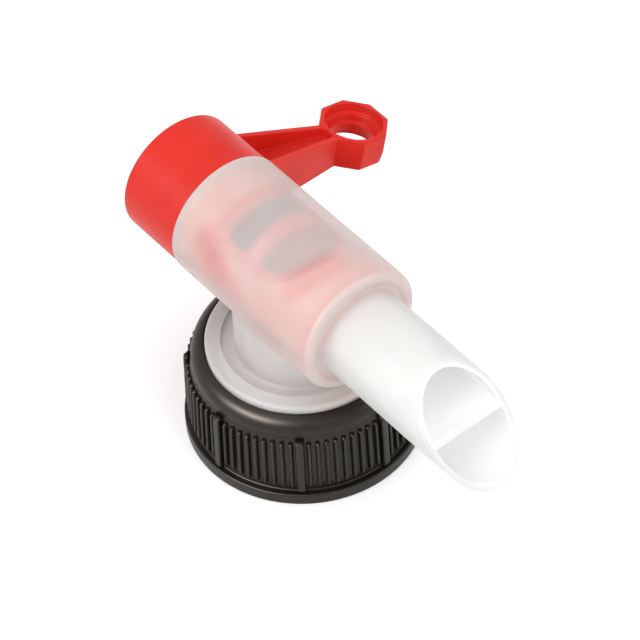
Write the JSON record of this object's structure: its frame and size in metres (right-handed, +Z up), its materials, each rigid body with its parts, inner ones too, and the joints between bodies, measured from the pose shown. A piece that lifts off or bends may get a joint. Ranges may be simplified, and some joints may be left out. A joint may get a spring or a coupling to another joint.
{
  "type": "canister tap",
  "caption": "Plastic dispensing tap for a canister: ribbed screw cap, swivelling barrel with a slant-cut divided spout, and a hollow valve plug turned by an eyed lever.",
  "frame": {"origin": "centre of the screw cap's mouth, on the cap's axis, in the plane of its lower rim", "axes": "+Z up the cap's axis towards the barrel; the barrel lies along Y with the spout towards -Y and the end cap towards +Y; the shut lever points to +X"},
  "size_m": [0.0995, 0.139, 0.0768],
  "materials": {
    "black_plastic": "satin moulded polyethylene, slightly glossy on the dome",
    "natural_plastic": "milky translucent natural polyethylene, satin",
    "soft_seal": "matte soft foam seal",
    "red_plastic": "satin moulded red polyethylene"
  },
  "bodies": {
    "cap": {"screw_cap": "black_plastic"},
    "tap": {"tap_body": "natural_plastic", "sealing_washer": "soft_seal"},
    "valve": {"valve_plug": "red_plastic"}
  },
  "joints": [
    {"name": "cap_swivel", "type": "hinge", "parent": "cap", "child": "tap", "pos_m": [0, 0, 0], "axis": [0, 0, 1], "continuous": true},
    {"name": "lever_turn", "type": "hinge", "parent": "tap", "child": "valve", "pos_m": [0, 0, 0.0576], "axis": [0, -1, 0], "range_deg": [0, 180]}
  ]
}
